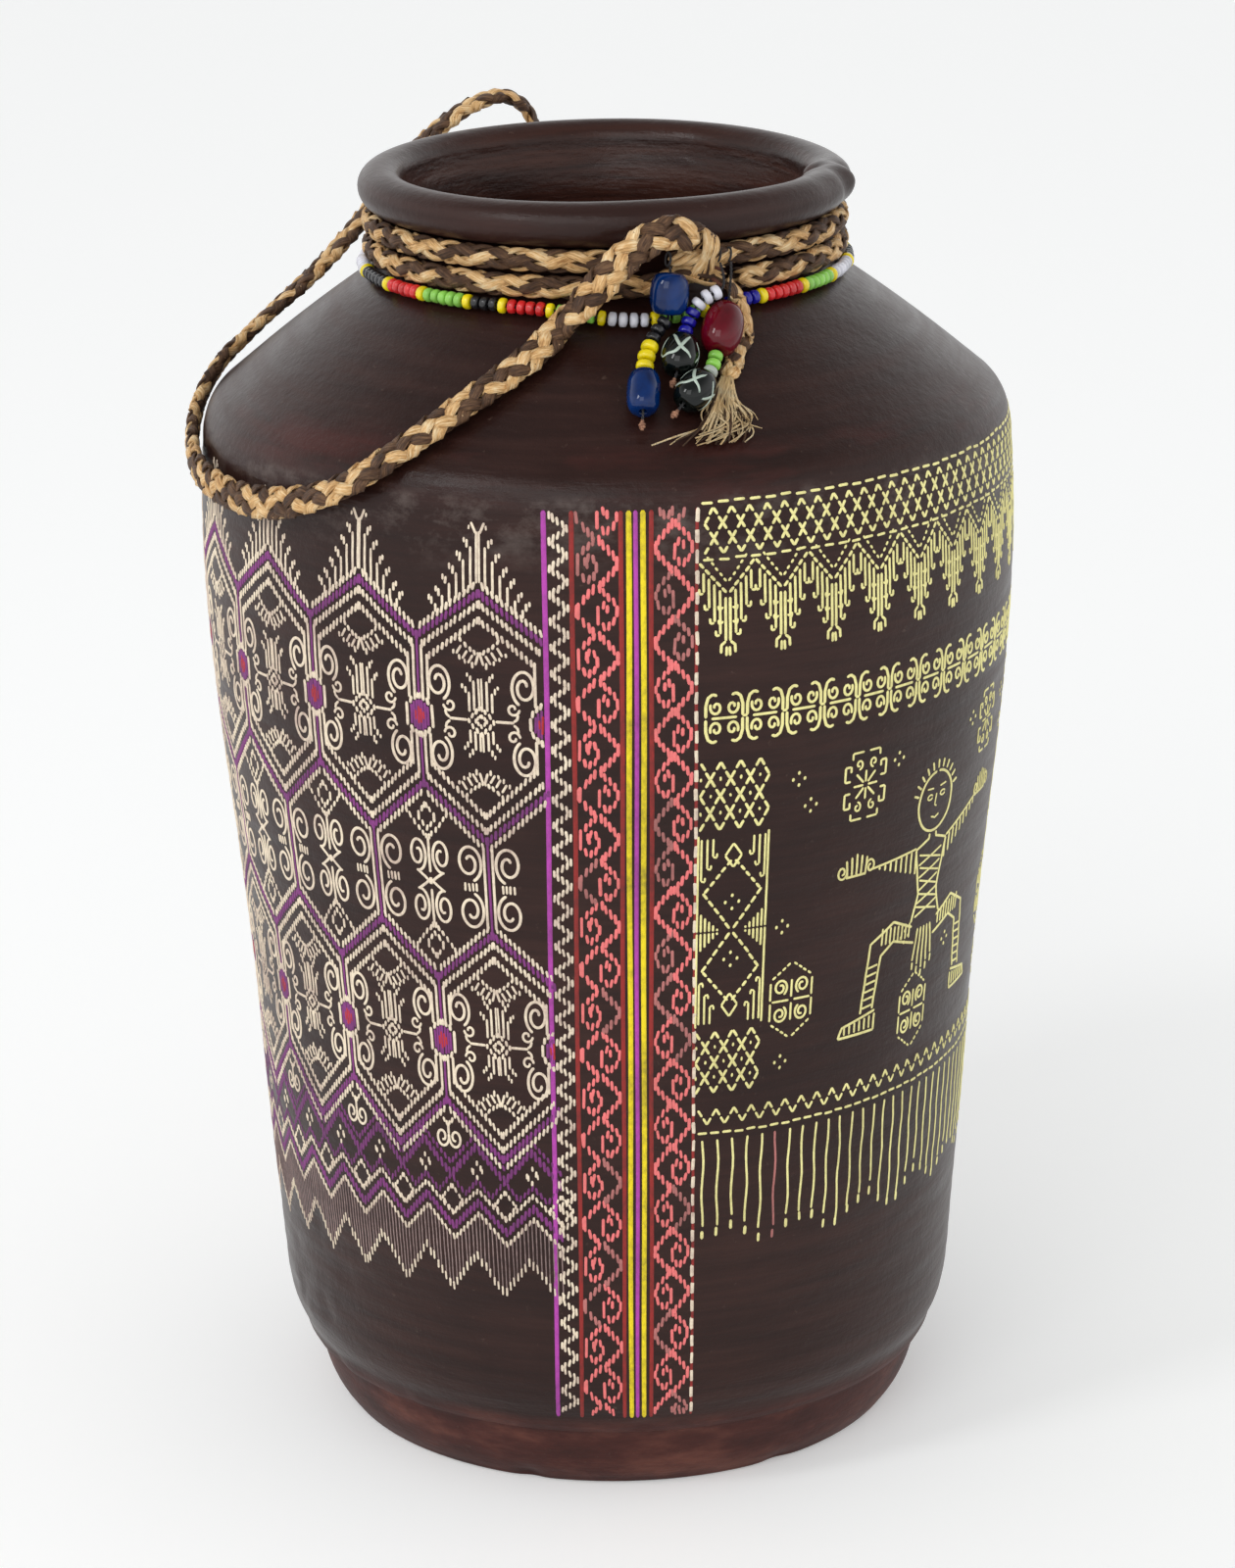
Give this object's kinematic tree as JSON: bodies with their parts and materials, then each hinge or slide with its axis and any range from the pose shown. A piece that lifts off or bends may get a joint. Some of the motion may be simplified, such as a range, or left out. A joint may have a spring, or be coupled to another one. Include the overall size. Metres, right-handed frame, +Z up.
{
  "type": "pottery vase",
  "caption": "Tall open-mouthed earthenware vase with a rolled rim, a plaited cord tied round its neck as a carrying strap, a string of seed beads and bead pendants.",
  "frame": {"origin": "centre of the foot's flat underside", "axes": "+Z up out of the mouth, -Y the front that the camera sees, +X the camera's right"},
  "size_m": [0.2301, 0.226, 0.3662],
  "materials": {
    "clay": "burnished, satin",
    "braid": "matte plait",
    "braid_end": "matte, frayed",
    "thread": "matte",
    "thread_knot": "matte",
    "seed_string": "gloss",
    "black_seed": "gloss",
    "yellow_seed": "gloss",
    "white_seed": "gloss",
    "royal_seed": "gloss",
    "green_seed": "gloss",
    "clear_seed": "gloss",
    "blue_glass": "gloss",
    "red_glass": "gloss",
    "black_glass": "gloss"
  },
  "bodies": {
    "jar_and_cords": {"jar": "clay", "neck_wrap": "braid", "bead_string": "seed_string", "front_knot": "braid", "back_tie": "braid", "carrying_strap": "braid", "tail_cord": "braid", "tail_tuft": "braid_end"},
    "left_string": {"left_string_thread": "thread", "left_string_end_knot": "thread_knot", "black_seed_1": "black_seed", "black_seed_2": "black_seed", "black_seed_3": "black_seed", "yellow_seed_1": "yellow_seed", "yellow_seed_2": "yellow_seed", "yellow_seed_3": "yellow_seed"},
    "middle_string": {"middle_string_thread": "thread", "middle_string_end_knot": "thread_knot", "white_seed_1": "white_seed", "white_seed_2": "white_seed", "white_seed_3": "white_seed", "royal_seed_1": "royal_seed", "royal_seed_2": "royal_seed", "royal_seed_3": "royal_seed"},
    "right_string": {"right_string_thread": "thread", "right_string_end_knot": "thread_knot", "green_seed_1": "green_seed", "green_seed_2": "green_seed", "clear_seed": "clear_seed"},
    "upper_blue_bead": {"upper_blue_barrel": "blue_glass"},
    "lower_blue_bead": {"lower_blue_barrel": "blue_glass"},
    "upper_black_bead": {"upper_trailed_bead": "black_glass"},
    "large_red_bead": {"red_bead": "red_glass"},
    "lower_black_bead": {"lower_trailed_bead": "black_glass"}
  },
  "joints": [
    {"name": "left_string_swing", "type": "hinge", "parent": "jar_and_cords", "child": "left_string", "pos_m": [0.01695, -0.07258, 0.3445], "axis": [-0.9397, -0.342, 0], "range_deg": [0, 80]},
    {"name": "middle_string_swing", "type": "hinge", "parent": "jar_and_cords", "child": "middle_string", "pos_m": [0.03001, -0.06783, 0.3445], "axis": [-0.9397, -0.342, 0], "range_deg": [0, 80]},
    {"name": "right_string_swing", "type": "hinge", "parent": "jar_and_cords", "child": "right_string", "pos_m": [0.03283, -0.0668, 0.3445], "axis": [-0.9397, -0.342, 0], "range_deg": [0, 80]},
    {"name": "upper_blue_bead_spin", "type": "hinge", "parent": "left_string", "child": "upper_blue_bead", "pos_m": [0.01657, -0.07378, 0.33761], "axis": [-0.0571, -0.175, -0.9829], "continuous": true},
    {"name": "lower_blue_bead_spin", "type": "hinge", "parent": "left_string", "child": "lower_blue_bead", "pos_m": [0.00953, -0.09244, 0.31599], "axis": [-0.0441, -0.7651, -0.6424], "continuous": true},
    {"name": "upper_black_bead_spin", "type": "hinge", "parent": "middle_string", "child": "upper_black_bead", "pos_m": [0.0192, -0.08258, 0.32339], "axis": [-0.1753, -0.7657, -0.6188], "continuous": true},
    {"name": "large_red_bead_spin", "type": "hinge", "parent": "right_string", "child": "large_red_bead", "pos_m": [0.03038, -0.07407, 0.32837], "axis": [-0.2067, -0.7417, -0.6381], "continuous": true},
    {"name": "lower_black_bead_spin", "type": "hinge", "parent": "right_string", "child": "lower_black_bead", "pos_m": [0.02286, -0.09109, 0.31598], "axis": [-0.5467, -0.7138, -0.4376], "continuous": true}
  ]
}
